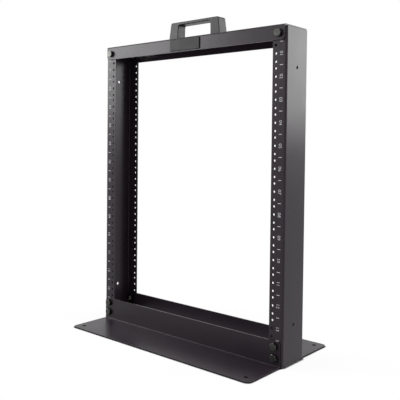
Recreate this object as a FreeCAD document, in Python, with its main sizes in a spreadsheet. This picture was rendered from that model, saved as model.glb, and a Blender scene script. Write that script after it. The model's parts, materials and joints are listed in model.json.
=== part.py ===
"""Two post open frame rack, 13 rack units high, bolted together from bent sheet steel.

All lengths are in millimetres. X runs along the rack's width, Y from front to rear and Z up.
The origin lies on the floor, midway between the uprights and midway between the two feet.
"""
import FreeCAD, Part
import math
import os

import Sketcher

SHEET_NAME = "Sizes"

# Driving sizes: alias, value and meaning
SIZES = [
    ("rack_unit", 44.45, "height of one rack unit"),
    ("unit_count", 13, "rack units between the base and the top"),
    ("lower_hole", 6.35, "lowest hole above the bottom of its rack unit"),
    ("middle_hole", 22.225, "middle hole above the bottom of its rack unit"),
    ("upper_hole", 38.1, "highest hole above the bottom of its rack unit"),
    ("mounting_hole", 5.5, "diameter of an equipment mounting hole"),
    ("panel_opening", 450.85, "clear width between the uprights"),
    ("column_inset", 7.13, "edge of an upright's flange to its hole column"),
    ("sheet", 2.66, "thickness of the bent sheet"),
    ("bend_radius", 1.4, "inside radius of every bend"),
    ("upright_depth", 76.2, "front face to rear face of an upright"),
    ("upright_flange", 31.75, "width of an upright's front or rear flange"),
    ("floor_gap", 2.5, "clearance between an upright's lower end and the floor"),
    ("web_hole", 7.0, "diameter of the holes in an upright's side wall"),
    ("web_hole_inset", 76.2, "side wall hole to the end of the upright"),
    ("top_flange", 30.5, "height of the top channel's flanges"),
    ("top_clearance", 2.75, "highest rack unit to the top channel's lower edge"),
    ("top_end_inset", 3.675, "side of the rack to the end of the top channel"),
    ("top_corner_radius", 6.5, "radius of the top channel's lower corners"),
    ("base_flange", 52.0, "height of a base angle's upright leg"),
    ("base_clearance", 0.7, "base angle's upper edge to the lowest rack unit"),
    ("base_end_inset", 4.175, "side of the rack to the end of a base angle"),
    ("base_corner_radius", 8.0, "radius of a base angle's upper corners"),
    ("foot_reach", 104.5, "upright's face to the free edge of the foot"),
    ("foot_corner_radius", 9.5, "radius of the foot's corners"),
    ("foot_hole", 8.5, "diameter of the floor bolt holes"),
    ("foot_hole_inset", 19.3, "floor bolt hole to the foot's free edges"),
    ("frame_bolt_hole", 10.0, "diameter of the holes for the frame bolts"),
    ("frame_bolt_inset", 17.175, "side of the rack to the frame bolts"),
    ("top_bolt_drop", 16.9, "top face to the top bolts"),
    ("high_bolt_drop", 11.0, "base angle's upper edge to the upper base bolts"),
    ("low_bolt_height", 18.8, "floor to the lower base bolts"),
    ("handle_base_length", 148.0, "length of the handle where it meets the top"),
    ("handle_top_length", 137.0, "length of the handle at the top of its grip"),
    ("handle_depth", 26.6, "depth of the handle where it meets the top"),
    ("handle_draft", 1.5, "lean of the handle's front and rear faces, in degrees"),
    ("handle_height", 41.2, "height of the handle"),
    ("grip_thickness", 6.6, "thickness of the handle's grip"),
    ("leg_base_width", 26.5, "width of a handle leg where it meets the top"),
    ("leg_top_width", 22.5, "width of a handle leg below the grip"),
    ("handle_corner_radius", 5.0, "radius of the handle's two top corners"),
    ("window_corner_radius", 3.0, "radius of the corners under the grip"),
    ("handle_edge_radius", 1.5, "radius of the handle's outer edges"),
    ("window_edge_chamfer", 1.2, "chamfer round the handle's window"),
    ("handle_screw_hole", 5.5, "diameter of the screw holes under the handle"),
    ("handle_screw_depth", 20.0, "depth of the screw holes in the handle's legs"),
]
VALUES = {alias: value for alias, value, _ in SIZES}

# Most small holes have this many sides, with their corners on the true circle
HOLE_SIDES = 10

TOUCH = 0.01


class Size:
    """A length that knows its value and the spreadsheet expression it comes from."""

    def __init__(self, value, text):
        self.value = float(value)
        self.text = text

    def _join(self, other, sign, value):
        text = other.text if isinstance(other, Size) else repr(other)
        return Size(value, "(" + self.text + " " + sign + " " + text + ")")

    def __add__(self, other):
        return self._join(other, "+", self.value + number(other))

    def __sub__(self, other):
        return self._join(other, "-", self.value - number(other))

    def __mul__(self, other):
        return self._join(other, "*", self.value * number(other))

    def __truediv__(self, other):
        return self._join(other, "/", self.value / number(other))

    def whole(self):
        """The size rounded down to a whole number."""
        return Size(math.floor(self.value), "floor(" + self.text + ")")


def number(size):
    """Plain value of a Size, or of a number."""
    return size.value if isinstance(size, Size) else float(size)


def cell(alias):
    """Size that is bound to one cell of the spreadsheet."""
    return Size(VALUES[alias], SHEET_NAME + "." + alias)


def write_sheet(doc):
    """Spreadsheet with one aliased cell for each driving size."""
    sheet = doc.addObject("Spreadsheet::Sheet", SHEET_NAME)
    for row, (alias, value, meaning) in enumerate(SIZES, start=1):
        sheet.set("A%d" % row, meaning)
        sheet.set("B%d" % row, str(value))
        sheet.setAlias("B%d" % row, alias)
    doc.recompute()


def new_body(doc, name, height=None):
    """Empty body whose label names the piece; height lifts it above the floor."""
    body = doc.addObject("PartDesign::Body", name)
    body.Label = name
    if height is not None:
        body.setExpression("Placement.Base.z", height.text)
    return body


def new_sketch(body, name, plane):
    """Sketch on one of the body's own origin planes."""
    sketch = body.newObject("Sketcher::SketchObject", body.Name + "_" + name)
    face = [f for f in body.Origin.OriginFeatures if f.Role == plane][0]
    sketch.AttachmentSupport = [(face, "")]
    sketch.MapMode = "FlatFace"
    return sketch


def hold(sketch, ties, constraints):
    """Adds constraints; ties are (kind, geometry, point, size) that follow the spreadsheet."""
    first = len(sketch.Constraints) + len(constraints)
    for kind, geometry, point, size in ties:
        if kind == "Diameter":
            constraints.append(Sketcher.Constraint(kind, geometry, size.value))
        else:
            constraints.append(Sketcher.Constraint(kind, -1, 1, geometry, point, size.value))
    sketch.addConstraint(constraints)
    for index, tie in enumerate(ties, start=first):
        sketch.setExpression("Constraints[%d]" % index, tie[3].text)


def draw_outline(sketch, corners):
    """Closed outline of straight lines through corners, each an (x, y) pair of sizes."""
    draw_outlines(sketch, [corners])


def draw_outlines(sketch, outlines):
    """Several closed outlines of straight lines in one sketch."""
    joints, ties = [], []
    for corners in outlines:
        points = [FreeCAD.Vector(x.value, y.value, 0) for x, y in corners]
        ends = points[1:] + points[:1]
        lines = list(sketch.addGeometry([Part.LineSegment(a, b) for a, b in zip(points, ends)], False))
        for line, following in zip(lines, lines[1:] + lines[:1]):
            joints.append(Sketcher.Constraint("Coincident", line, 2, following, 1))
        for line, (x, y) in zip(lines, corners):
            ties.append(("DistanceX", line, 1, x))
            ties.append(("DistanceY", line, 1, y))
    hold(sketch, ties, joints)


def draw_circles(sketch, diameter, centres):
    """Circles of one diameter at centres, each an (x, y) pair of sizes."""
    up = FreeCAD.Vector(0, 0, 1)
    ties = []
    for x, y in centres:
        centre = FreeCAD.Vector(x.value, y.value, 0)
        circle = sketch.addGeometry(Part.Circle(centre, up, diameter.value / 2), False)
        ties.append(("DistanceX", circle, 3, x))
        ties.append(("DistanceY", circle, 3, y))
        ties.append(("Diameter", circle, 0, diameter))
    hold(sketch, ties, [])


def draw_rings(sketch, diameter, centres):
    """Many-sided holes at centres, their corners on a circle of the diameter."""
    turns = [2 * math.pi * k / HOLE_SIDES for k in range(HOLE_SIDES)]
    radius = diameter / 2
    draw_outlines(sketch, [
        [(x + radius * math.cos(a), y + radius * math.sin(a)) for a in turns] for x, y in centres
    ])


def pad(body, sketch, length, midplane=False):
    """Sheet section drawn out to a length."""
    feature = body.newObject("PartDesign::Pad", body.Name + "_pad")
    feature.Profile = sketch
    feature.setExpression("Length", length.text)
    feature.Midplane = midplane
    body.Document.recompute()
    return feature


def punch(body, name, plane, diameter, centres, draw=draw_rings, both_sides=True):
    """Small holes through everything on both sides of the plane, or on its normal's side only."""
    sketch = new_sketch(body, name + "_sketch", plane)
    draw(sketch, diameter, centres)
    feature = body.newObject("PartDesign::Pocket", body.Name + "_" + name)
    feature.Profile = sketch
    feature.Type = "ThroughAll"
    feature.Midplane = both_sides
    feature.Reversed = not both_sides
    body.Document.recompute()
    return feature


def near(a, b):
    """True where two coordinates are the same place."""
    return abs(a - b) < TOUCH


def edges_where(shape, test):
    """Names of a shape's straight edges whose middle and direction pass a test."""
    names = []
    for i, edge in enumerate(shape.Edges, start=1):
        if not isinstance(edge.Curve, (Part.Line, Part.LineSegment)):
            continue
        start, end = edge.Vertexes[0].Point, edge.Vertexes[-1].Point
        run = end - start
        if test((start + end) * 0.5, run.normalize()):
            names.append("Edge%d" % i)
    return names


def faces_where(shape, test):
    """Names of a shape's faces whose outward normal passes a test."""
    return ["Face%d" % i for i, face in enumerate(shape.Faces, start=1) if test(face.normalAt(0, 0))]


def ease(body, name, kind, length, size, test):
    """Fillet or chamfer on the straight edges of the body that pass the test."""
    base = body.Tip
    feature = body.newObject("PartDesign::" + kind, body.Name + "_" + name)
    feature.Base = (base, edges_where(base.Shape, test))
    feature.setExpression(length, size.text)
    body.Document.recompute()
    return feature


def fillet(body, name, radius, test):
    """Rounds the straight edges of the body that pass the test."""
    return ease(body, name, "Fillet", "Radius", radius, test)


def chamfer(body, name, size, test):
    """Bevels the straight edges of the body that pass the test."""
    return ease(body, name, "Chamfer", "Size", size, test)


def along(axis):
    """Test that an edge runs along one axis, 0 to 2 for X to Z."""
    return lambda run: near(abs(run[axis]), 1.0)


def frame_sizes():
    """Heights and places that more than one piece shares."""
    sheet = cell("sheet")
    side = cell("panel_opening") / 2 + cell("upright_flange")
    units_low = cell("base_flange") + cell("base_clearance")
    units_high = units_low + cell("rack_unit") * cell("unit_count")
    channel_low = units_high + cell("top_clearance")
    height = channel_low + cell("top_flange")
    return {
        "face": cell("upright_depth") / 2,
        "side": side,
        "column": cell("panel_opening") / 2 + cell("column_inset"),
        "units_low": units_low,
        "channel_low": channel_low,
        "height": height,
        "outer_bend": cell("bend_radius") + sheet,
        "upright_length": height - sheet - cell("bend_radius") - cell("floor_gap"),
        "bolt": side - cell("frame_bolt_inset"),
        "top_bolt": height - cell("top_bolt_drop"),
        "high_bolt": cell("base_flange") - cell("high_bolt_drop"),
        "low_bolt": cell("low_bolt_height"),
        "handle_screw": (cell("handle_base_length") - cell("leg_base_width")) / 2,
    }


def upright_section(sketch, shared, side):
    """C section, web outside, flanges front and rear, drawn for one side of the rack."""
    sheet = cell("sheet")
    outer = shared["side"] * side
    mouth = cell("panel_opening") / 2 * side
    inner = (shared["side"] - sheet) * side
    front, rear = shared["face"] * -1, shared["face"]
    draw_outline(sketch, [
        (mouth, front), (outer, front), (outer, rear), (mouth, rear),
        (mouth, rear - sheet), (inner, rear - sheet), (inner, front + sheet), (mouth, front + sheet),
    ])


def make_upright(doc, name, side):
    """One upright; side is -1 for the left and 1 for the right."""
    shared = frame_sizes()
    body = new_body(doc, name, cell("floor_gap"))
    sketch = new_sketch(body, "section", "XY_Plane")
    upright_section(sketch, shared, side)
    length = shared["upright_length"]
    pad(body, sketch, length)

    outer = (shared["side"] * side).value
    inner = ((shared["side"] - cell("sheet")) * side).value
    upward = along(2)
    fillet(body, "outer_bends", shared["outer_bend"], lambda p, run: upward(run) and near(p.x, outer))
    fillet(body, "inner_bends", cell("bend_radius"), lambda p, run: upward(run) and near(p.x, inner))

    lift = cell("floor_gap")
    bolt = shared["bolt"] * side
    heights = [shared[row] - lift for row in ("low_bolt", "high_bolt", "top_bolt")]
    punch(body, "bolt_holes", "XZ_Plane", cell("frame_bolt_hole"), [(bolt, z) for z in heights])

    middle = cell("sheet") * 0
    inset = cell("web_hole_inset")
    web_rows = [(middle, inset), (middle, length - inset)]
    punch(body, "web_holes", "YZ_Plane", cell("web_hole"), web_rows, draw=draw_circles)

    column = shared["column"] * side
    lowest = shared["units_low"] - lift
    steps = cell("unit_count") - 1
    rows = [lowest + cell(row) for row in ("lower_hole", "middle_hole", "upper_hole")]
    holes = punch(body, "unit_holes", "XZ_Plane", cell("mounting_hole"), [(column, z) for z in rows])
    pattern = body.newObject("PartDesign::LinearPattern", name + "_unit_pattern")
    pattern.Originals = [holes]
    pattern.Direction = (holes.Profile[0], ["V_Axis"])
    pattern.setExpression("Length", (cell("rack_unit") * steps).text)
    pattern.setExpression("Occurrences", cell("unit_count").text)
    body.Tip = pattern
    doc.recompute()

    # The outer holes of the lowest, middle and highest units are round in the front flange
    units = [lowest, lowest + cell("rack_unit") * (steps / 2).whole(), lowest + cell("rack_unit") * steps]
    round_rows = [(column, unit + cell(row)) for unit in units for row in ("lower_hole", "upper_hole")]
    punch(body, "round_holes", "XZ_Plane", cell("mounting_hole"), round_rows,
          draw=draw_circles, both_sides=False)
    return body


def make_base_angle(doc, name, facing):
    """One base angle; facing is -1 for the front foot and 1 for the rear one."""
    shared = frame_sizes()
    sheet = cell("sheet")
    seat = shared["face"] * facing
    outside = (shared["face"] + sheet) * facing
    edge = (shared["face"] + cell("foot_reach")) * facing
    floor = sheet * 0
    top = cell("base_flange")

    body = new_body(doc, name)
    sketch = new_sketch(body, "section", "YZ_Plane")
    draw_outline(sketch, [
        (seat, floor), (edge, floor), (edge, sheet), (outside, sheet), (outside, top), (seat, top),
    ])
    half_length = shared["side"] - cell("base_end_inset")
    pad(body, sketch, half_length * 2, midplane=True)

    lengthwise, crosswise, upward = along(0), along(1), along(2)
    fillet(body, "heel", shared["outer_bend"],
           lambda p, run: lengthwise(run) and near(p.y, seat.value) and near(p.z, 0))
    fillet(body, "bend", cell("bend_radius"),
           lambda p, run: lengthwise(run) and near(p.y, outside.value) and near(p.z, sheet.value))
    fillet(body, "upper_corners", cell("base_corner_radius"),
           lambda p, run: crosswise(run) and near(p.z, top.value))
    fillet(body, "foot_corners", cell("foot_corner_radius"),
           lambda p, run: upward(run) and near(p.y, edge.value))

    sides = (shared["bolt"] * -1, shared["bolt"])
    rows = (shared["low_bolt"], shared["high_bolt"])
    punch(body, "bolt_holes", "XZ_Plane", cell("frame_bolt_hole"), [(x, z) for x in sides for z in rows])

    inset = cell("foot_hole_inset")
    reach = half_length - inset
    row = (shared["face"] + cell("foot_reach") - inset) * facing
    places = [(reach * -1, row), (reach, row)]
    punch(body, "foot_holes", "XY_Plane", cell("foot_hole"), places, draw=draw_circles)
    return body


def make_top_channel(doc, name):
    """Inverted channel over the tops of both uprights."""
    shared = frame_sizes()
    sheet = cell("sheet")
    top = shared["height"]
    low = shared["channel_low"]
    seat, outside = shared["face"], shared["face"] + sheet

    body = new_body(doc, name)
    sketch = new_sketch(body, "section", "YZ_Plane")
    draw_outline(sketch, [
        (outside * -1, low), (outside * -1, top), (outside, top), (outside, low),
        (seat, low), (seat, top - sheet), (seat * -1, top - sheet), (seat * -1, low),
    ])
    pad(body, sketch, (shared["side"] - cell("top_end_inset")) * 2, midplane=True)

    lengthwise, crosswise = along(0), along(1)
    fillet(body, "outer_bends", shared["outer_bend"], lambda p, run: lengthwise(run) and near(p.z, top.value))
    fillet(body, "inner_bends", cell("bend_radius"),
           lambda p, run: lengthwise(run) and near(p.z, top.value - sheet.value))
    fillet(body, "lower_corners", cell("top_corner_radius"),
           lambda p, run: crosswise(run) and near(p.z, low.value))

    bolts = [(shared["bolt"] * side, shared["top_bolt"]) for side in (-1, 1)]
    punch(body, "bolt_holes", "XZ_Plane", cell("frame_bolt_hole"), bolts)

    screws = [(shared["handle_screw"] * side, sheet * 0) for side in (-1, 1)]
    punch(body, "handle_holes", "XY_Plane", cell("handle_screw_hole"), screws)
    return body


def make_carry_handle(doc, name):
    """Moulded bail handle: two tapered legs joined by a flat grip."""
    shared = frame_sizes()
    body = new_body(doc, name, shared["height"])
    top = cell("handle_height")
    under = top - cell("grip_thickness")
    ground = top * 0
    foot, crown = cell("handle_base_length") / 2, cell("handle_top_length") / 2
    foot_inner, crown_inner = foot - cell("leg_base_width"), crown - cell("leg_top_width")

    sketch = new_sketch(body, "outline", "XZ_Plane")
    draw_outline(sketch, [
        (foot * -1, ground), (crown * -1, top), (crown, top), (foot, ground),
        (foot_inner, ground), (crown_inner, under), (crown_inner * -1, under), (foot_inner * -1, ground),
    ])
    block = pad(body, sketch, cell("handle_depth"), midplane=True)

    lean = body.newObject("PartDesign::Draft", name + "_draft")
    lean.Base = (block, faces_where(block.Shape, lambda normal: near(abs(normal.y), 1.0)))
    lean.NeutralPlane = (block, faces_where(block.Shape, lambda normal: near(normal.z, -1.0))[:1])
    lean.Reversed = True
    lean.setExpression("Angle", cell("handle_draft").text)
    # A draft takes its neutral face on the first pass and leans on the second
    doc.recompute()
    doc.recompute()

    fillet(body, "window_corners", cell("window_corner_radius"),
           lambda p, run: along(1)(run) and near(p.z, under.value))
    fillet(body, "top_corners", cell("handle_corner_radius"),
           lambda p, run: along(1)(run) and near(p.z, top.value))
    fillet(body, "outer_edges", cell("handle_edge_radius"),
           lambda p, run: along(0)(run) and near(p.z, top.value))
    chamfer(body, "window_edges", cell("window_edge_chamfer"),
            lambda p, run: along(0)(run) and near(p.z, under.value))

    sketch = new_sketch(body, "screw_sketch", "XY_Plane")
    screws = [(shared["handle_screw"] * side, ground) for side in (-1, 1)]
    draw_rings(sketch, cell("handle_screw_hole"), screws)
    bore = body.newObject("PartDesign::Pocket", name + "_screw_holes")
    bore.Profile = sketch
    bore.Reversed = True
    bore.setExpression("Length", cell("handle_screw_depth").text)
    doc.recompute()
    return body


def check_document(doc):
    """Stops where any object of the document failed to build."""
    for obj in doc.Objects:
        if "Invalid" in obj.State or "Error" in obj.State:
            raise RuntimeError("%s did not build: %s" % (obj.Name, obj.State))


def check_piece(body):
    """Stops where a piece is empty, broken or more than one solid."""
    shape = body.Shape
    if shape.isNull() or not shape.isValid() or len(shape.Solids) != 1:
        raise RuntimeError("%s is not one valid solid" % body.Label)


def main():
    doc = FreeCAD.newDocument("two_post_rack")
    write_sheet(doc)
    pieces = [
        make_upright(doc, "left_upright", -1),
        make_upright(doc, "right_upright", 1),
        make_base_angle(doc, "front_base_angle", -1),
        make_base_angle(doc, "rear_base_angle", 1),
        make_top_channel(doc, "top_channel"),
        make_carry_handle(doc, "carry_handle"),
    ]
    doc.recompute()
    check_document(doc)
    os.makedirs("parts", exist_ok=True)
    for body in pieces:
        check_piece(body)
        body.Shape.exportStep("parts/" + body.Label + ".step")
        box = body.Shape.BoundBox
        print("%-18s volume %10.1f  X %8.2f %8.2f  Y %8.2f %8.2f  Z %8.2f %8.2f" % (
            body.Label, body.Shape.Volume, box.XMin, box.XMax, box.YMin, box.YMax, box.ZMin, box.ZMax))


main()
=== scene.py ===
"""Two post open frame rack: bolts, nuts, screws, tapped threads, bare badge, unit marks and finishes.

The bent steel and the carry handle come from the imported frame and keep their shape. This script bolts
them together, taps the equipment holes, prints the unit marks, gives every piece its finish and sets up
a pale studio.
Blender works in metres. Sizes are written in millimetres and turned to metres by MM.
X runs along the rack's width, Y from front to rear and Z up, as in the frame.
"""
import json
import logging
import math
from collections.abc import Callable, Iterator
from contextlib import contextmanager
from dataclasses import dataclass
from enum import Enum

import bpy
from mathutils import Matrix, Vector

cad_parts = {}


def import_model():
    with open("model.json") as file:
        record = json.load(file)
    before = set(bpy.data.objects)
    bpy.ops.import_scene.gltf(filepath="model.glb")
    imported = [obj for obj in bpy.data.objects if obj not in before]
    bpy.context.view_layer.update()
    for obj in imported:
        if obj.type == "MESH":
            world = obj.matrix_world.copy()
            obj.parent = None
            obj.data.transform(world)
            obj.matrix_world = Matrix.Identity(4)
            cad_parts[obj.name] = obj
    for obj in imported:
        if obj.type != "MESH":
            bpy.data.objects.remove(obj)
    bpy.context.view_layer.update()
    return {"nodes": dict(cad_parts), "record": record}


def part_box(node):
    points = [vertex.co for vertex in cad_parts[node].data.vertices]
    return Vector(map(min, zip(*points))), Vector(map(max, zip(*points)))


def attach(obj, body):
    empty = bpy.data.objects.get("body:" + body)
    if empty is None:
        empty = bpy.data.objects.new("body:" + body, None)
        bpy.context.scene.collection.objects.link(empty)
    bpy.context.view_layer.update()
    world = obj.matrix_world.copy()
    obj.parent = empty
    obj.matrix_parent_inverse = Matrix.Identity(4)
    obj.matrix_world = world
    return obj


LOG = logging.getLogger("rack")

MM = 0.001
MM_PER_INCH = 25.4
FULL_TURN = 2 * math.pi
QUARTER_TURN = math.pi / 2
UPSIDE_DOWN = Matrix.Rotation(math.pi, 4, "X")
PHOTO_WIDTH = 400
ROOT = "root"

# Thickness of the bent steel, as in the solids
SHEET = 2.66 * MM

# Vertices nearer to each other than this are one, on a drawn piece and on the seam of a thread
WELD = 0.001 * MM
SEAM = 0.002 * MM

# Edges shorter than this are slivers that a cut leaves
SLIVER = 0.004 * MM

# Cosine above which a face counts as looking one way
LOOKING = 0.9

# Sockets of the Mix node by number, because those for numbers and for colours share their names
FACTOR, NUMBER_A, NUMBER_B, COLOUR_A, COLOUR_B = 0, 2, 3, 6, 7
NUMBER_RESULT, COLOUR_RESULT = 0, 2

# Range in which most values of a noise pattern lie
NOISE_LOW, NOISE_HIGH = 0.3, 0.7

# Cosine between rounded and true normal at which an edge starts to look rubbed, and is fully rubbed
RUBBED_FROM, RUBBED_FULLY = 0.985, 0.8

# Least share of the wear that is left between two scuffs
FAINTEST_SCUFF = 0.25


class Side(Enum):
    """Left or right half of the rack, seen from the front."""

    LEFT = -1
    RIGHT = 1


class Facing(Enum):
    """Front or rear of the rack."""

    FRONT = -1
    REAR = 1


class Slot(Enum):
    """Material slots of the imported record."""

    POWDER_COAT = "black_powder_coat"
    HANDLE = "handle_plastic"


class Pick(Enum):
    """What is selected in edit mode, as the flags of the select mode."""

    VERTICES = (True, False, False)
    EDGES = (False, True, False)
    FACES = (False, False, True)


class Cut(Enum):
    """What is kept when one solid is combined with another."""

    BOTH = "UNION"
    OUTSIDE_TOOL = "DIFFERENCE"
    INSIDE_TOOL = "INTERSECT"


def linear_colour(code: str) -> tuple[float, float, float, float]:
    """Turns an sRGB hex colour to the linear colour that a shader takes, by the sRGB curve.

    Args:
        code: Colour such as "#1c1a1c".

    Returns:
        Linear red, green, blue and an alpha of 1.
    """
    channels = [int(code[i:i + 2], 16) / 255 for i in (1, 3, 5)]
    linear = [c / 12.92 if c <= 0.04045 else ((c + 0.055) / 1.055) ** 2.4 for c in channels]
    return (*linear, 1.0)


def add_node(
    tree: bpy.types.NodeTree,
    kind: str,
    settings: dict[str, object] | None = None,
    inputs: dict[str | int, object] | None = None,
) -> bpy.types.Node:
    """Adds a node with its settings, input values and links.

    Args:
        tree: Node tree that gets the node.
        kind: Blender's name of the node type.
        settings: Properties of the node.
        inputs: Sockets by name or number, each with a value or with the output that feeds it.

    Returns:
        The new node.
    """
    node = tree.nodes.new(kind)
    for name, value in (settings or {}).items():
        setattr(node, name, value)
    for name, value in (inputs or {}).items():
        if isinstance(value, bpy.types.NodeSocket):
            tree.links.new(value, node.inputs[name])
        else:
            node.inputs[name].default_value = value
    return node


@dataclass(frozen=True)
class Wear:
    """Rubbed edges of a piece: lighter and smoother where hands and tools touch them."""

    colour: str
    roughness: float
    radius: float = 1.0 * MM
    patch: float = 24 * MM
    strength: float = 0.6


@dataclass(frozen=True)
class Finish:
    """A surface with a mottled colour, uneven roughness, two sizes of bump and rubbed edges.

    The patterns are noise on Object coordinates, so they stay on the piece from any side.
    """

    name: str
    colour: str
    second_colour: str
    mottle: float
    roughness: tuple[float, float]
    grain: float
    grain_height: float
    wave: float
    wave_height: float
    wear: Wear
    metallic: float = 0.0
    ior: float = 1.5
    edge: float = 0.4 * MM

    def material(self) -> bpy.types.Material:
        """Builds the finish.

        Returns:
            Material ready to be put in a slot.
        """
        material = bpy.data.materials.new(self.name)
        material.use_nodes = True
        tree = material.node_tree
        shader = tree.nodes["Principled BSDF"]
        place = add_node(tree, "ShaderNodeTexCoord").outputs["Object"]

        clouds = add_node(tree, "ShaderNodeTexNoise", inputs={
            "Vector": place, "Scale": 1 / self.mottle, "Detail": 3.0, "Roughness": 0.55}).outputs["Fac"]
        rounded = add_node(tree, "ShaderNodeBevel", {"samples": 6}, {"Radius": self.edge})
        rubbed = self._rubbed_edges(tree, place)
        two_tone = add_node(tree, "ShaderNodeMix", {"data_type": "RGBA"}, {
            FACTOR: clouds,
            COLOUR_A: linear_colour(self.colour),
            COLOUR_B: linear_colour(self.second_colour)})
        colour = add_node(tree, "ShaderNodeMix", {"data_type": "RGBA"}, {
            FACTOR: rubbed,
            COLOUR_A: two_tone.outputs[COLOUR_RESULT],
            COLOUR_B: linear_colour(self.wear.colour)})

        smooth, rough = self.roughness
        uneven = add_node(tree, "ShaderNodeMapRange", inputs={
            "Value": clouds, "From Min": NOISE_LOW, "From Max": NOISE_HIGH,
            "To Min": smooth, "To Max": rough})
        roughness = add_node(tree, "ShaderNodeMix", inputs={
            FACTOR: rubbed, NUMBER_A: uneven.outputs["Result"], NUMBER_B: self.wear.roughness})
        normal = self._relief(tree, place, rounded.outputs["Normal"])

        tree.links.new(colour.outputs[COLOUR_RESULT], shader.inputs["Base Color"])
        tree.links.new(roughness.outputs[NUMBER_RESULT], shader.inputs["Roughness"])
        tree.links.new(normal, shader.inputs["Normal"])
        shader.inputs["Metallic"].default_value = self.metallic
        if not self.metallic:
            shader.inputs["IOR"].default_value = self.ior
        return material

    def _rubbed_edges(
        self, tree: bpy.types.NodeTree, place: bpy.types.NodeSocket
    ) -> bpy.types.NodeSocket:
        """Masks the edges by how far a rounded normal leans off the true one, in uneven patches.

        Args:
            tree: Node tree of the material.
            place: Object coordinates.

        Returns:
            Output that is 0 on flat faces and up to the wear's strength on edges.
        """
        rounded = add_node(tree, "ShaderNodeBevel", {"samples": 4}, {"Radius": self.wear.radius})
        true_normal = add_node(tree, "ShaderNodeNewGeometry")
        alike = add_node(tree, "ShaderNodeVectorMath", {"operation": "DOT_PRODUCT"}, {
            0: rounded.outputs["Normal"], 1: true_normal.outputs["Normal"]})
        lean = add_node(tree, "ShaderNodeMapRange", inputs={
            "Value": alike.outputs["Value"], "From Min": RUBBED_FROM, "From Max": RUBBED_FULLY,
            "To Min": 0.0, "To Max": self.wear.strength})
        scuffs = add_node(tree, "ShaderNodeTexNoise", inputs={
            "Vector": place, "Scale": 1 / self.wear.patch, "Detail": 4.0, "Roughness": 0.55})
        patches = add_node(tree, "ShaderNodeMapRange", inputs={
            "Value": scuffs.outputs["Fac"], "From Min": NOISE_LOW, "From Max": NOISE_HIGH,
            "To Min": FAINTEST_SCUFF, "To Max": 1.0})
        mask = add_node(tree, "ShaderNodeMath", {"operation": "MULTIPLY", "use_clamp": True}, {
            0: lean.outputs["Result"], 1: patches.outputs["Result"]})
        return mask.outputs["Value"]

    def _relief(
        self, tree: bpy.types.NodeTree, place: bpy.types.NodeSocket, rounded: bpy.types.NodeSocket
    ) -> bpy.types.NodeSocket:
        """Lays a fine grain over slow waves, each with its real height, on softly rounded edges.

        Args:
            tree: Node tree of the material.
            place: Object coordinates.
            rounded: Normal of the piece with its edges rounded.

        Returns:
            Normal output.
        """
        swell = add_node(tree, "ShaderNodeTexNoise", inputs={
            "Vector": place, "Scale": 1 / self.wave, "Detail": 2.0, "Roughness": 0.5})
        waves = add_node(tree, "ShaderNodeBump", inputs={
            "Height": swell.outputs["Fac"], "Distance": self.wave_height, "Normal": rounded})
        cells = add_node(tree, "ShaderNodeTexNoise", inputs={
            "Vector": place, "Scale": 1 / self.grain, "Detail": 2.0, "Roughness": 0.5})
        grain = add_node(tree, "ShaderNodeBump", inputs={
            "Height": cells.outputs["Fac"], "Distance": self.grain_height,
            "Normal": waves.outputs["Normal"]})
        return grain.outputs["Normal"]


# Polyester powder coat sprayed and baked on bent steel: near black with a violet cast, semi-gloss, with a
# fine orange peel. Its broad soft reflections carry most of what the eye sees. Real peel cells of about
# 1 mm are drawn at 2 mm to show.
POWDER_COAT = Finish(
    name="black_polyester_powder_coat", colour="#1e171e", second_colour="#241d24", mottle=90 * MM,
    roughness=(0.27, 0.34), grain=2 * MM, grain_height=0.004 * MM, wave=160 * MM, wave_height=0.12 * MM,
    wear=Wear("#3c393b", 0.3, radius=0.5 * MM, strength=0.4), ior=1.32, edge=0.6 * MM)

# Glass-filled nylon moulded against a sparked tool: dark grey, duller than the coat, with a grain that
# softens its highlights.
MOULDED_NYLON = Finish(
    name="moulded_grey_nylon", colour="#2b292c", second_colour="#333134", mottle=14 * MM,
    roughness=(0.34, 0.42), grain=1.2 * MM, grain_height=0.006 * MM, wave=40 * MM, wave_height=0.06 * MM,
    wear=Wear("#4d4b4e", 0.42, radius=0.8 * MM, patch=12 * MM, strength=0.4), ior=1.3)

# Cold-formed steel with black zinc plate: dark neutral metal with brighter rubbed corners.
BLACK_ZINC = Finish(
    name="black_zinc_plated_steel", colour="#484947", second_colour="#3b3c3a", mottle=5 * MM,
    roughness=(0.26, 0.4), grain=0.7 * MM, grain_height=0.006 * MM, wave=6 * MM, wave_height=0.015 * MM,
    wear=Wear("#8f8c88", 0.22, radius=0.4 * MM, patch=4 * MM, strength=0.6), metallic=1.0, edge=0.3 * MM)

# Steel nuts blackened in hot oxide and oiled: darker and duller than the plated bolts, so that they sink
# into the shade behind the flanges.
BLACK_OXIDE = Finish(
    name="black_oxide_steel", colour="#262527", second_colour="#1d1c1e", mottle=5 * MM,
    roughness=(0.38, 0.5), grain=0.7 * MM, grain_height=0.006 * MM, wave=6 * MM, wave_height=0.015 * MM,
    wear=Wear("#4a4848", 0.3, radius=0.3 * MM, patch=4 * MM, strength=0.4), metallic=1.0, edge=0.3 * MM)

# Threads tapped through the coated sheet, bare steel on the real rack. Their near black, matt colour
# is painted shade that keeps the holes dark inside; they are shaded as a dull dark coat, not as bare
# metal.
TAPPED_STEEL_PAINTED_SHADE = Finish(
    name="tapped_oiled_steel", colour="#0c0b0c", second_colour="#151415", mottle=3 * MM,
    roughness=(0.8, 0.92), grain=0.5 * MM, grain_height=0.01 * MM, wave=4 * MM, wave_height=0.01 * MM,
    wear=Wear("#2a292a", 0.7, radius=0.1 * MM, patch=2 * MM, strength=0.3), ior=1.2, edge=0.1 * MM)

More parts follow.
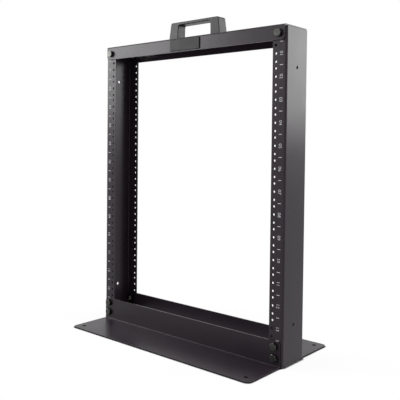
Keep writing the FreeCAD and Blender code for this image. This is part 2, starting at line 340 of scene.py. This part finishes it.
# Satin black enamel on a stamped plate, a little darker and less glossy than the rack.
BADGE_ENAMEL = Finish(
    name="satin_black_enamel", colour="#161316", second_colour="#1c191c", mottle=18 * MM,
    roughness=(0.46, 0.54), grain=1.5 * MM, grain_height=0.008 * MM, wave=30 * MM, wave_height=0.03 * MM,
    wear=Wear("#4c4a4c", 0.4, radius=0.4 * MM, patch=6 * MM), ior=1.33)

# Screen-printed epoxy ink: light grey, matt, a little thin in places.
SCREEN_INK = Finish(
    name="screen_printed_ink", colour="#c2c1c4", second_colour="#a9a8ab", mottle=3 * MM,
    roughness=(0.55, 0.68), grain=0.6 * MM, grain_height=0.01 * MM, wave=5 * MM, wave_height=0.01 * MM,
    wear=Wear("#d4d3d6", 0.6, radius=0.1 * MM, patch=2 * MM, strength=0.3), ior=1.5, edge=0.05 * MM)


def deselect_all() -> None:
    """Leaves no object selected, so that the next operator acts on its own piece only."""
    for obj in bpy.context.selected_objects:
        obj.select_set(False)


def make_active(obj: bpy.types.Object) -> None:
    """Selects one object alone and makes it active.

    Args:
        obj: Object that the next operator works on.
    """
    deselect_all()
    obj.select_set(True)
    bpy.context.view_layer.objects.active = obj


def add_primitive(operator: Callable[..., set[str]], name: str, **settings: object) -> bpy.types.Object:
    """Adds a primitive as the start of a piece.

    Args:
        operator: One of the primitive operators.
        name: Name of the object and its mesh.
        **settings: Arguments of the operator.

    Returns:
        The new object, selected alone.
    """
    deselect_all()
    operator(**settings)
    obj = bpy.context.object
    obj.name = name
    obj.data.name = name
    if obj.type == "MESH":
        bpy.ops.object.transform_apply(location=True, rotation=True, scale=True)
    return obj


@contextmanager
def editing(
    obj: bpy.types.Object, pick: Pick = Pick.FACES, test: Callable[[object], bool] | None = None
) -> Iterator[None]:
    """Opens edit mode with all of the mesh selected, or only the edges or faces that pass a test.

    Args:
        obj: Mesh object to edit.
        pick: Kind of element to select.
        test: Called with each edge or face; without it everything is selected.

    Yields:
        Nothing; edit mode is closed on the way out.
    """
    make_active(obj)
    mesh = obj.data
    bpy.context.tool_settings.mesh_select_mode = pick.value
    for elements in (mesh.vertices, mesh.edges, mesh.polygons):
        elements.foreach_set("select", [test is None] * len(elements))
    if test is not None:
        for element in mesh.edges if pick is Pick.EDGES else mesh.polygons:
            element.select = test(element)
    bpy.ops.object.mode_set(mode="EDIT")
    yield
    bpy.ops.object.mode_set(mode="OBJECT")


def close_mesh(obj: bpy.types.Object) -> None:
    """Merges doubled vertices and turns every face outwards."""
    with editing(obj):
        bpy.ops.mesh.remove_doubles(threshold=WELD)
        bpy.ops.mesh.normals_make_consistent(inside=False)


def apply_modifier(obj: bpy.types.Object, kind: str, **settings: object) -> None:
    """Adds a modifier with its settings and applies it at once.

    Args:
        obj: Mesh object to change.
        kind: Blender's name of the modifier type.
        **settings: Properties of the modifier.
    """
    make_active(obj)
    modifier = obj.modifiers.new(kind.title(), kind)
    for name, value in settings.items():
        setattr(modifier, name, value)
    bpy.ops.object.modifier_apply(modifier=modifier.name)


def combine(obj: bpy.types.Object, tool: bpy.types.Object, cut: Cut) -> None:
    """Cuts or joins one solid with another and clears the slivers that this leaves.

    Args:
        obj: Solid that is changed.
        tool: Solid that cuts or is joined, deleted afterwards.
        cut: What is kept.
    """
    apply_modifier(obj, "BOOLEAN", object=tool, operation=cut.value, solver="EXACT")
    bpy.data.objects.remove(tool)
    with editing(obj):
        bpy.ops.mesh.remove_doubles(threshold=SLIVER)
        bpy.ops.mesh.dissolve_degenerate(threshold=SLIVER)


def join(first: bpy.types.Object, others: list[bpy.types.Object]) -> bpy.types.Object:
    """Joins objects into the first one's mesh.

    Args:
        first: Object that stays.
        others: Objects that become part of it.

    Returns:
        The first object.
    """
    make_active(first)
    for obj in others:
        obj.select_set(True)
    bpy.ops.object.join()
    return first


def settle(obj: bpy.types.Object, place: Matrix) -> bpy.types.Object:
    """Puts an object in its place and writes that place into its mesh.

    Args:
        obj: Object to place.
        place: Move, turn and stretch that its mesh gets.

    Returns:
        The same object, unturned at the origin.
    """
    obj.matrix_world = place
    make_active(obj)
    bpy.ops.object.transform_apply(location=True, rotation=True, scale=True)
    return obj


def copy_to(model: bpy.types.Object, name: str, place: Matrix) -> bpy.types.Object:
    """Copies a finished model with a mesh of its own and settles the copy in its place.

    Args:
        model: Object to copy.
        name: Name of the copy and its mesh.
        place: Move and turn of the copy.

    Returns:
        The copy.
    """
    obj = model.copy()
    obj.data = model.data.copy()
    obj.name = name
    obj.data.name = name
    bpy.context.scene.collection.objects.link(obj)
    return settle(obj, place)


def hand_over(obj: bpy.types.Object, material: bpy.types.Material, degrees: float = 30.0) -> None:
    """Gives a finished piece its material and smooth shading, and lets it ride on the frame.

    Args:
        obj: Finished piece.
        material: Its finish.
        degrees: Faces that meet at less than this angle are shaded as one surface.
    """
    make_active(obj)
    bpy.ops.object.shade_smooth_by_angle(angle=math.radians(degrees))
    obj.data.materials.clear()
    obj.data.materials.append(material)
    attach(obj, ROOT)
    LOG.info("%s: %d faces", obj.name, len(obj.data.polygons))


def draw_profile(name: str, points: list[tuple[float, float]]) -> bpy.types.Object:
    """Draws an open line of points in the XZ plane, extruding it from one vertex to the next.

    Args:
        name: Name of the object.
        points: Distance from the Z axis and height of each point.

    Returns:
        Object whose mesh is the line.
    """
    obj = add_primitive(bpy.ops.mesh.primitive_plane_add, name, size=MM)
    places = [Vector((radius, 0, height)) for radius, height in points]
    with editing(obj, Pick.VERTICES):
        bpy.ops.mesh.merge(type="CENTER")
        bpy.ops.transform.translate(value=places[0])
        for start, end in zip(places, places[1:]):
            bpy.ops.mesh.extrude_region_move(TRANSFORM_OT_translate={"value": end - start})
    return obj


def turn(name: str, points: list[tuple[float, float]], steps: int) -> bpy.types.Object:
    """Turns a profile round the Z axis into a closed body, as on a lathe.

    Args:
        name: Name of the object.
        points: Distance from the Z axis and height of each point of the profile.
        steps: Number of sides.

    Returns:
        The closed body.
    """
    obj = draw_profile(name, points)
    with editing(obj, Pick.VERTICES):
        bpy.ops.mesh.spin(steps=steps, angle=FULL_TURN, center=(0, 0, 0), axis=(0, 0, 1))
    close_mesh(obj)
    return obj


def threaded_rod(
    name: str, radius: float, depth: float, pitch: float, length: float, steps: int = 24
) -> bpy.types.Object:
    """Models a rod with a helical thread round the Z axis, from above Z 0 to below its length.

    Args:
        name: Name of the object.
        radius: Radius over the crests.
        depth: Height of the turns.
        pitch: Rise of one turn.
        length: Distance below Z 0 that the thread has to cover.
        steps: Steps in one turn.

    Returns:
        Closed rod that runs past both ends of that length.
    """
    spare_turns, spare_below = 2, 1.5
    # Shares of the pitch where the crest starts, where it ends and where the root is reached again
    rise, crest, fall = 0.4, 0.55, 0.95
    root = radius - depth
    low = -length - pitch * spare_below
    rod = draw_profile(name, [
        (root, low),
        (radius, low + pitch * rise),
        (radius, low + pitch * crest),
        (root, low + pitch * fall),
        (root, low + pitch)])
    apply_modifier(
        rod, "SCREW", axis="Z", angle=FULL_TURN, screw_offset=pitch,
        iterations=math.ceil(length / pitch) + spare_turns,
        steps=steps, render_steps=steps, use_merge_vertices=True, merge_threshold=SEAM)
    close_mesh(rod)
    with editing(rod, Pick.VERTICES):
        bpy.ops.mesh.fill_holes(sides=0)
    close_mesh(rod)
    return rod


@dataclass
class HexFastener:
    """Hex bolt and nut of 3/8 inch, 16 threads to the inch, modelled with the seat at Z 0.

    The chamfer starts at flat_share of the flats, and cutting bodies run past the piece by overcut.
    """

    across_flats: float = 14.3 * MM
    head_height: float = 6.0 * MM
    nut_height: float = 8.3 * MM
    washer_radius: float = 6.8 * MM
    washer_height: float = 0.4 * MM
    thread_radius: float = 4.72 * MM
    thread_depth: float = 0.9 * MM
    pitch: float = MM_PER_INCH / 16 * MM
    length: float = 19.05 * MM
    tip_chamfer: float = 1.0 * MM
    clearance: float = 0.2 * MM
    bore_inset: float = 0.3 * MM
    mouth_outset: float = 0.4 * MM
    overcut: float = 1.0 * MM
    flat_share: float = 0.97
    chamfer_slope: float = math.tan(math.radians(30))
    sides: int = 36

    def _prism(self, name: str, low: float, high: float) -> bpy.types.Object:
        """Plain hexagonal prism between two heights."""
        return add_primitive(
            bpy.ops.mesh.primitive_cylinder_add, name, vertices=6,
            radius=self.across_flats / math.sqrt(3), depth=high - low, location=(0, 0, (low + high) / 2))

    def _chamfer(self, body: bpy.types.Object, top: float) -> None:
        """Rounds off the six corners at one end, as the cone of a chamfering tool does.

        Args:
            body: Hexagonal prism.
            top: Height of the end.
        """
        flat = self.across_flats / 2 * self.flat_share
        reach = top + self.across_flats
        low = top - reach
        profile = [(0, top), (flat, top), (flat + reach / self.chamfer_slope, low), (0, low)]
        combine(body, turn("chamfer_cone", profile, self.sides), Cut.INSIDE_TOOL)

    def _shank(self) -> bpy.types.Object:
        """Models the threaded shank.

        Returns:
            Rod from inside the washer face down to a chamfered tip.
        """
        rod = threaded_rod("shank", self.thread_radius, self.thread_depth, self.pitch, self.length)
        top, outer = self.washer_height / 2, self.thread_radius + self.clearance
        sheath = turn("shank_sheath", [
            (0, top), (outer, top), (outer, -self.length + self.tip_chamfer),
            (outer - self.tip_chamfer, -self.length), (0, -self.length)], self.sides)
        combine(rod, sheath, Cut.INSIDE_TOOL)
        return rod

    def bolt(self) -> bpy.types.Object:
        """Models the bolt.

        Returns:
            Bolt with its head above Z 0 and its shank below.
        """
        head = self._prism("bolt_model", self.washer_height, self.head_height)
        self._chamfer(head, self.head_height)
        washer = turn("washer_face", [
            (0, 0), (self.washer_radius, 0), (self.washer_radius, self.washer_height * 2),
            (0, self.washer_height * 2)], self.sides)
        combine(head, washer, Cut.BOTH)
        return join(head, [self._shank()])

    def nut(self) -> bpy.types.Object:
        """Models the nut.

        Returns:
            Nut that stands on Z 0, chamfered at both ends and bored to the thread.
        """
        body = self._prism("nut_model", 0, self.nut_height)
        self._chamfer(body, self.nut_height)
        settle(body, UPSIDE_DOWN)
        self._chamfer(body, 0)
        settle(body, Matrix.Translation((0, 0, self.nut_height)))
        bore, mouth = self.thread_radius - self.bore_inset, self.thread_radius + self.mouth_outset
        under, over = -self.overcut, self.nut_height + self.overcut
        drill = turn("nut_bore", [
            (0, under), (mouth + self.overcut, under), (bore, mouth - bore),
            (bore, self.nut_height - mouth + bore), (mouth + self.overcut, over), (0, over)], self.sides)
        combine(body, drill, Cut.OUTSIDE_TOOL)
        return body


@dataclass(frozen=True)
class RackUnits:
    """Rack units counted from the top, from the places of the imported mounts."""

    first: float
    last: float
    front: float
    count: int = 13

    @classmethod
    def read(cls, record: dict) -> "RackUnits":
        """Reads the first and last unit's centre and the front face from the record.

        Args:
            record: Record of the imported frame.

        Returns:
            The rack's units.
        """
        mounts = {mount["name"]: mount["pos_m"] for mount in record["mounts"]}
        first, last = mounts["front_holes_unit_01"], mounts["front_holes_unit_%02d" % cls.count]
        return cls(first[2], last[2], first[1])

    @property
    def step(self) -> float:
        """Height of one unit."""
        return (self.first - self.last) / (self.count - 1)

    @property
    def centres(self) -> list[float]:
        """Height of each unit's middle, from the top down."""
        return [self.first - self.step * unit for unit in range(self.count)]


@dataclass
class FrameBolts:
    """Twelve bolts with nuts, which hold the uprights to the top channel and the base angles.

    The inset is measured from the outside of an upright, the drops from the top edge of the bolted piece.
    """

    inset: float = 17.175 * MM
    top_drop: float = 16.9 * MM
    high_drop: float = 11.0 * MM
    low_height: float = 18.8 * MM
    sheet: float = SHEET
    turn_step: float = math.radians(23)

    def build(self, plate: bpy.types.Material, oxide: bpy.types.Material) -> None:
        """Models a bolt and a nut and copies them to every joint.

        Args:
            plate: Zinc finish of the bolts.
            oxide: Blackened finish of the nuts.
        """
        fastener = HexFastener()
        bolt, nut = fastener.bolt(), fastener.nut()
        top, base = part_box("top_channel"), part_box("front_base_angle")
        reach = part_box("right_upright")[1].x - self.inset
        outside = top[1].y
        inside = outside - 2 * self.sheet
        rows = {
            "top": top[1].z - self.top_drop,
            "high": base[1].z - self.high_drop,
            "low": self.low_height}
        count = 0
        for facing in Facing:
            # The model's Z axis turns to point out of the front or the rear face
            outward = Matrix.Rotation(-facing.value * QUARTER_TURN, 4, "X")
            for side in Side:
                across = side.value * reach
                for row, height in rows.items():
                    count += 1
                    spin = Matrix.Rotation(self.turn_step * count, 4, "Z")
                    where = "%s_%s_%s" % (facing.name.lower(), side.name.lower(), row)
                    seat = Matrix.Translation((across, facing.value * outside, height))
                    hand_over(copy_to(bolt, "bolt_" + where, seat @ outward @ spin), plate)
                    seat = Matrix.Translation((across, facing.value * inside, height))
                    hand_over(copy_to(nut, "nut_" + where, seat @ outward @ UPSIDE_DOWN @ spin), oxide)
        bpy.data.objects.remove(bolt)
        bpy.data.objects.remove(nut)


@dataclass
class HoleThreads:
    """Threads of the equipment holes, number 12 with 24 turns to the inch, through all four flanges.

    Each ring is embedded in the sheet round its hole and ends a little below the sheet's faces.
    """

    major_radius: float = 2.74 * MM
    minor_radius: float = 2.27 * MM
    pitch: float = MM_PER_INCH / 24 * MM
    embedded: float = 0.2 * MM
    clear: float = 0.04 * MM
    below_face: float = 0.02 * MM
    column: float = 232.555 * MM
    hole_step: float = 15.875 * MM
    sheet: float = SHEET
    sides: int = 24

    def build(self, rack_units: RackUnits, steel: bpy.types.Material) -> None:
        """Models one threaded hole, repeats it up a flange and copies that column to all four flanges.

        Args:
            rack_units: Heights of the units.
            steel: Finish of the threads.
        """
        model = self._threaded_hole()
        heights = [centre + row * self.hole_step for centre in rack_units.centres for row in (-1, 0, 1)]
        into_sheet = Matrix.Rotation(-QUARTER_TURN, 4, "X")
        holes = [copy_to(model, "threaded_hole", Matrix.Translation((0, 0, height)) @ into_sheet)
                 for height in heights]
        column = join(holes[0], holes[1:])
        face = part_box("right_upright")[1].y
        for facing in Facing:
            for side in Side:
                middle = facing.value * (face - self.sheet / 2)
                name = "%s_%s_hole_threads" % (facing.name.lower(), side.name.lower())
                place = Matrix.Translation((side.value * self.column, middle, 0))
                hand_over(copy_to(column, name, place), steel)
        bpy.data.objects.remove(model)
        bpy.data.objects.remove(column)

    def _threaded_hole(self) -> bpy.types.Object:
        """Models one threaded hole.

        Returns:
            Ring round the Z axis with a countersunk, threaded bore, half above and half below Z 0.
        """
        high = self.sheet / 2 - self.below_face
        minor, major, outer = self.minor_radius, self.major_radius, self.major_radius + self.embedded
        sink = major - minor
        ring = turn("threaded_hole_model", [
            (minor, sink - high), (major, -high), (outer, -high), (outer, high), (major, high),
            (minor, high - sink), (minor, sink - high)], self.sides)
        tap = threaded_rod("tap", major - self.clear, sink + self.clear, self.pitch, self.sheet)
        # Half a step apart, the corners of tap and ring don't meet and the cut stays clean
        half_step = Matrix.Rotation(math.pi / self.sides, 4, "Z")
        settle(tap, Matrix.Translation((0, 0, self.sheet / 2)) @ half_step)
        combine(ring, tap, Cut.OUTSIDE_TOOL)
        return ring


@dataclass
class HandleScrews:
    """Two pan head screws that hold the handle from under the top channel.

    The dome of the head is a line of points in shares of its radius and height.
    """

    head_radius: float = 4.75 * MM
    head_height: float = 3.0 * MM
    shank_radius: float = 2.4 * MM
    length: float = 18.0 * MM
    sheet: float = SHEET
    leg_width: float = 26.5 * MM
    slot_length: float = 5.4 * MM
    slot_width: float = 1.1 * MM
    slot_depth: float = 1.9 * MM
    dome: tuple[tuple[float, float], ...] = ((0, 1), (0.45, 0.97), (0.8, 0.78), (0.97, 0.45), (1, 0.2))
    tip_share: float = 0.5
    tip_length: float = 1.0 * MM
    sides: int = 32

    def build(self, plate: bpy.types.Material) -> None:
        """Models one screw, head up, and copies it under each leg.

        Args:
            plate: Zinc finish of the hardware.
        """
        head, top, shank = self.head_radius, self.head_height, self.shank_radius
        tip = -self.length - self.tip_length
        screw = turn("screw_model", [
            *((head * across, top * up) for across, up in self.dome),
            (head, 0), (shank, 0), (shank, -self.length),
            (shank * self.tip_share, tip), (0, tip)], self.sides)
        for quarter in (0, 1):
            cutter = add_primitive(bpy.ops.mesh.primitive_cube_add, "cross_slot", size=1)
            size = Matrix.Diagonal((self.slot_length, self.slot_width, self.slot_depth * 2, 1))
            lift = Matrix.Translation((0, 0, top))
            settle(cutter, lift @ Matrix.Rotation(quarter * QUARTER_TURN, 4, "Z") @ size)
            combine(screw, cutter, Cut.OUTSIDE_TOOL)
        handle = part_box("carry_handle")
        reach = handle[1].x - self.leg_width / 2
        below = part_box("top_channel")[1].z - self.sheet
        for side in Side:
            seat = Matrix.Translation((side.value * reach, 0, below))
            hand_over(copy_to(screw, "handle_screw_" + side.name.lower(), seat @ UPSIDE_DOWN), plate)
        bpy.data.objects.remove(screw)


@dataclass
class BadgePlate:
    """Bare flat plate on the top channel's front, with rounded corners and eased edges."""

    low_x: float = -42.6 * MM
    high_x: float = 41.4 * MM
    low_z: float = 635.4 * MM
    high_z: float = 660.2 * MM
    thickness: float = 2.5 * MM
    corner: float = 1.4 * MM
    edge: float = 0.4 * MM
    corner_steps: int = 4
    edge_steps: int = 3

    def build(self, enamel: bpy.types.Material) -> None:
        """Models the plate flat on the channel's face.

        Args:
            enamel: Finish of the plate.
        """
        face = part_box("top_channel")[0].y
        plate = add_primitive(bpy.ops.mesh.primitive_cube_add, "badge_plate", size=1)
        size = Matrix.Diagonal((self.high_x - self.low_x, self.thickness, self.high_z - self.low_z, 1))
        centre = (
            (self.low_x + self.high_x) / 2,
            face - self.thickness / 2,
            (self.low_z + self.high_z) / 2)
        settle(plate, Matrix.Translation(centre) @ size)

        def through(edge: bpy.types.MeshEdge) -> bool:
            """True for the four corner edges that run through the plate."""
            ends = [plate.data.vertices[i].co for i in edge.vertices]
            return abs(ends[0].y - ends[1].y) > self.thickness / 2

        def in_front(polygon: bpy.types.MeshPolygon) -> bool:
            """True for the face that looks forward."""
            return polygon.normal.y < -LOOKING

        with editing(plate, Pick.EDGES, through):
            bpy.ops.mesh.bevel(offset=self.corner, segments=self.corner_steps, affect="EDGES")
        with editing(plate, Pick.FACES, in_front):
            bpy.ops.mesh.region_to_loop()
            bpy.ops.mesh.bevel(offset=self.edge, segments=self.edge_steps, affect="EDGES")
        # A narrow margin keeps the smooth shading of the edges off the flat face
        with editing(plate, Pick.FACES, in_front):
            bpy.ops.mesh.inset(thickness=self.edge)
        close_mesh(plate)
        hand_over(plate, enamel)


@dataclass
class UnitMarks:
    """Unit numbers beside the hole columns, read from the top down, with a dash at each unit's edge."""

    numerals_height: float = 9.7 * MM
    column: float = 245.4 * MM
    ink: float = 0.06 * MM
    dash_length: float = 7.0 * MM
    dash_width: float = 1.1 * MM
    dash_rounding: float = 0.3
    thinning: float = 0.07 * MM
    curve_steps: int = 3
    crease: float = 20.0

    def build(self, rack_units: RackUnits, ink: bpy.types.Material) -> None:
        """Prints one column of marks on each upright's front flange.

        Args:
            rack_units: Heights of the units.
            ink: Finish of the marks.
        """
        half = rack_units.step / 2
        for side in Side:
            across = side.value * self.column
            marks = [self._dash(Vector((across, rack_units.front, rack_units.first + half)))]
            for number, height in enumerate(rack_units.centres, 1):
                marks.append(self._number("%02d" % number, Vector((across, rack_units.front, height))))
                marks.append(self._dash(Vector((across, rack_units.front, height - half))))
            name = side.name.lower() + "_unit_marks"
            column = join(marks[0], marks[1:])
            column.name = name
            column.data.name = name
            hand_over(column, ink, self.crease)

    def _dash(self, centre: Vector) -> bpy.types.Object:
        """Models a short level dash.

        Args:
            centre: Middle of the dash on the flange's face.

        Returns:
            Dash with rounded ends.
        """
        dash = add_primitive(bpy.ops.mesh.primitive_cube_add, "dash", size=1)
        size = Matrix.Diagonal((self.dash_length, self.ink * 2, self.dash_width, 1))
        settle(dash, Matrix.Translation(centre) @ size)
        mesh = dash.data

        def at_corner(edge: bpy.types.MeshEdge) -> bool:
            """True for the four edges that run into the flange."""
            ends = [mesh.vertices[i].co for i in edge.vertices]
            return abs(ends[0].y - ends[1].y) > self.ink

        with editing(dash, Pick.EDGES, at_corner):
            bpy.ops.mesh.bevel(offset=self.dash_width * self.dash_rounding, segments=2, affect="EDGES")
        return dash

    def _number(self, text: str, centre: Vector) -> bpy.types.Object:
        """Models two numerals.

        Args:
            text: The numerals.
            centre: Their middle on the flange's face.

        Returns:
            Numerals turned to read downwards, with their tops to the right.
        """
        obj = add_primitive(bpy.ops.object.text_add, "numerals")
        obj.data.body = text
        obj.data.size = self.numerals_height
        obj.data.extrude = self.ink
        obj.data.offset = -self.thinning
        obj.data.resolution_u = self.curve_steps
        bpy.ops.object.convert(target="MESH")
        obj = bpy.context.object
        bpy.ops.object.origin_set(type="ORIGIN_GEOMETRY", center="BOUNDS")
        settle(obj, Matrix.Identity(4))
        close_mesh(obj)
        # Reading direction down, numeral tops to +X and ink out of the front face
        turned = Matrix(((0, 1, 0, 0), (0, 0, -1, 0), (-1, 0, 0, 0), (0, 0, 0, 1)))
        return settle(obj, Matrix.Translation(centre) @ turned)


@dataclass
class Steelwork:
    """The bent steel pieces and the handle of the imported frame, which only get their finish."""

    steel: tuple[str, ...] = (
        "left_upright", "right_upright", "front_base_angle", "rear_base_angle", "top_channel")
    handle: str = "carry_handle"

    def dress(self, nodes: dict[str, bpy.types.Object]) -> None:
        """Puts the finishes in the slots of the frame's own objects.

        Args:
            nodes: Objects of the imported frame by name.
        """
        coat = POWDER_COAT.material()
        for name in self.steel:
            nodes[name].material_slots[0].material = coat
            LOG.info("%s: powder coated", name)
        nodes[self.handle].material_slots[0].material = MOULDED_NYLON.material()
        LOG.info("%s: moulded finish", self.handle)


@dataclass(frozen=True)
class Softbox:
    """Studio lamp: where it hangs, what it looks at, its width, height and power in watts."""

    name: str
    place: tuple[float, float, float]
    target: tuple[float, float, float]
    width: float
    height: float
    power: float

    def hang(self) -> None:
        """Adds the lamp, hidden from the camera itself."""
        bpy.ops.object.light_add(type="AREA", location=self.place)
        lamp = bpy.context.object
        lamp.name = self.name
        lamp.data.shape = "RECTANGLE"
        lamp.data.size = self.width
        lamp.data.size_y = self.height
        lamp.data.energy = self.power
        aim = Vector(self.target) - Vector(self.place)
        lamp.rotation_euler = aim.to_track_quat("-Z", "Y").to_euler()
        lamp.visible_camera = False


@dataclass
class Studio:
    """Pale floor, white surroundings, soft lamps and the camera at the photo's viewing angle.

    Places, lamp sizes and the floor's measures are in metres, the camera's turns in radians.
    """

    floor_radius: float = 9.0
    floor_sides: int = 96
    floor_fade: tuple[float, float] = (0.45, 1.3)
    floor_glow: float = 0.9
    floor_colour: str = "#e9e9ea"
    # Painted shade: the floor's colour in gaps and holes near the rack, and how far and how deep it
    # reaches
    painted_shade_colour: str = "#3a383a"
    painted_shade_reach: float = 7 * MM
    painted_shade_range: tuple[float, float] = (0.72, 0.92)
    painted_shade_samples: int = 8
    fill: float = 0.5
    camera_place: tuple[float, float, float] = (897.271 * MM, -1043.593 * MM, 436.564 * MM)
    heading: float = 0.717823
    tilt: float = 0.029802
    roll: float = -0.010420
    focal_pixels: float = 617.643
    centre_pixels: tuple[float, float] = (191.310, 160.230)
    sensor: float = 36.0
    lamps: tuple[Softbox, ...] = (
        Softbox("front_left_softbox", (-1.95, -1.33, 1.12), (0, 0, 0.55),
                width=1.5, height=0.95, power=44.0),
        Softbox("rear_right_softbox", (1.1, 1.4, 1.0), (0.1, 0, 0.5),
                width=1.0, height=1.0, power=20.0),
        Softbox("overhead_softbox", (0.1, -0.3, 2.2), (0, 0, 0.3),
                width=1.4, height=1.4, power=22.0),
    )

    def build(self) -> None:
        """Sets up everything that isn't part of the rack."""
        self._floor()
        self._surroundings()
        for lamp in self.lamps:
            lamp.hang()
        self._camera()
        bpy.context.scene.view_settings.view_transform = "Standard"

    def _white_share(self, tree: bpy.types.NodeTree) -> bpy.types.NodeSocket:
        """Tells the rays that show the background: from the camera, off gloss or through glass.

        Args:
            tree: Node tree of the floor or the world.

        Returns:
            Output that is 1 for these rays and 0 for all others.
        """
        rays = add_node(tree, "ShaderNodeLightPath").outputs
        seen = add_node(tree, "ShaderNodeMath", {"operation": "MAXIMUM"}, {
            0: rays["Is Camera Ray"], 1: rays["Is Glossy Ray"]})
        shown = add_node(tree, "ShaderNodeMath", {"operation": "MAXIMUM"}, {
            0: seen.outputs["Value"], 1: rays["Is Transmission Ray"]})
        return shown.outputs["Value"]

    def _floor(self) -> None:
        """Pale round floor with a faint shadow, painted shade in gaps and holes, and fading to white
        further out.
        """
        floor = add_primitive(
            bpy.ops.mesh.primitive_circle_add, "floor", vertices=self.floor_sides,
            radius=self.floor_radius, fill_type="NGON")
        material = bpy.data.materials.new("pale_floor")
        material.use_nodes = True
        tree = material.node_tree
        tree.nodes.remove(tree.nodes["Principled BSDF"])
        place = add_node(tree, "ShaderNodeTexCoord").outputs["Object"]
        far = add_node(tree, "ShaderNodeVectorMath", {"operation": "LENGTH"}, {0: place})
        near, edge = self.floor_fade
        whiten = add_node(tree, "ShaderNodeMapRange", {"interpolation_type": "SMOOTHSTEP"}, {
            "Value": far.outputs["Value"], "From Min": near, "From Max": edge,
            "To Min": self.floor_glow, "To Max": 1.0})
        # Painted shade: gaps and holes close to the floor are darkened by an ambient occlusion mask
        open_sky = add_node(tree, "ShaderNodeAmbientOcclusion", {"samples": self.painted_shade_samples}, {
            "Distance": self.painted_shade_reach})
        low, high = self.painted_shade_range
        clear_of_painted_shade = add_node(tree, "ShaderNodeMapRange", {"interpolation_type": "SMOOTHSTEP"}, {
            "Value": open_sky.outputs["AO"], "From Min": low, "From Max": high,
            "To Min": 0.0, "To Max": 1.0})
        bright = add_node(tree, "ShaderNodeMath", {"operation": "MULTIPLY"}, {
            0: whiten.outputs["Result"], 1: clear_of_painted_shade.outputs["Result"]})
        share = add_node(tree, "ShaderNodeMath", {"operation": "MULTIPLY"}, {
            0: bright.outputs["Value"], 1: self._white_share(tree)})
        tone = add_node(tree, "ShaderNodeMix", {"data_type": "RGBA"}, {
            FACTOR: clear_of_painted_shade.outputs["Result"],
            COLOUR_A: linear_colour(self.painted_shade_colour),
            COLOUR_B: linear_colour(self.floor_colour)})
        matt = add_node(tree, "ShaderNodeBsdfDiffuse", inputs={"Color": tone.outputs[COLOUR_RESULT]})
        white = add_node(tree, "ShaderNodeEmission", inputs={"Strength": 1.0})
        mix = add_node(tree, "ShaderNodeMixShader", inputs={
            0: share.outputs["Value"], 1: matt.outputs["BSDF"], 2: white.outputs["Emission"]})
        tree.links.new(mix.outputs["Shader"], tree.nodes["Material Output"].inputs["Surface"])
        floor.data.materials.append(material)

    def _surroundings(self) -> None:
        """White background for camera and reflections, softer fill for everything else."""
        world = bpy.data.worlds.new("white_studio")
        world.use_nodes = True
        bpy.context.scene.world = world
        tree = world.node_tree
        strength = add_node(tree, "ShaderNodeMix", inputs={
            FACTOR: self._white_share(tree), NUMBER_A: self.fill, NUMBER_B: 1.0})
        background = tree.nodes["Background"]
        background.inputs["Color"].default_value = (1, 1, 1, 1)
        tree.links.new(strength.outputs[NUMBER_RESULT], background.inputs["Strength"])

    def _camera(self) -> None:
        """Camera solved from the photo's hole grid; the frame is square."""
        bpy.ops.object.camera_add(location=self.camera_place)
        camera = bpy.context.object
        camera.name = "photo_camera"
        forward = Vector((
            -math.sin(self.heading) * math.cos(self.tilt),
            math.cos(self.heading) * math.cos(self.tilt),
            -math.sin(self.tilt)))
        level = Vector((math.cos(self.heading), math.sin(self.heading), 0))
        down = forward.cross(level)
        right = level * math.cos(self.roll) + down * math.sin(self.roll)
        up = level * math.sin(self.roll) - down * math.cos(self.roll)
        axes = Matrix((right, up, -forward)).transposed()
        camera.rotation_euler = axes.to_euler()
        camera.data.sensor_width = self.sensor
        camera.data.lens = self.sensor * self.focal_pixels / PHOTO_WIDTH
        camera.data.shift_x = (PHOTO_WIDTH / 2 - self.centre_pixels[0]) / PHOTO_WIDTH
        camera.data.shift_y = (self.centre_pixels[1] - PHOTO_WIDTH / 2) / PHOTO_WIDTH
        bpy.context.scene.camera = camera


def main() -> None:
    """Builds the rack's own pieces in order and sets up the studio."""
    logging.basicConfig(level=logging.INFO, format="%(name)s %(message)s")
    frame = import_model()

    zinc = BLACK_ZINC.material()
    Steelwork().dress(frame["nodes"])
    FrameBolts().build(zinc, BLACK_OXIDE.material())
    HandleScrews().build(zinc)
    rack_units = RackUnits.read(frame["record"])
    # The threads' near black finish is painted shade inside the equipment holes
    HoleThreads().build(rack_units, TAPPED_STEEL_PAINTED_SHADE.material())
    BadgePlate().build(BADGE_ENAMEL.material())
    UnitMarks().build(rack_units, SCREEN_INK.material())
    Studio().build()


if __name__ == "__main__":
    main()
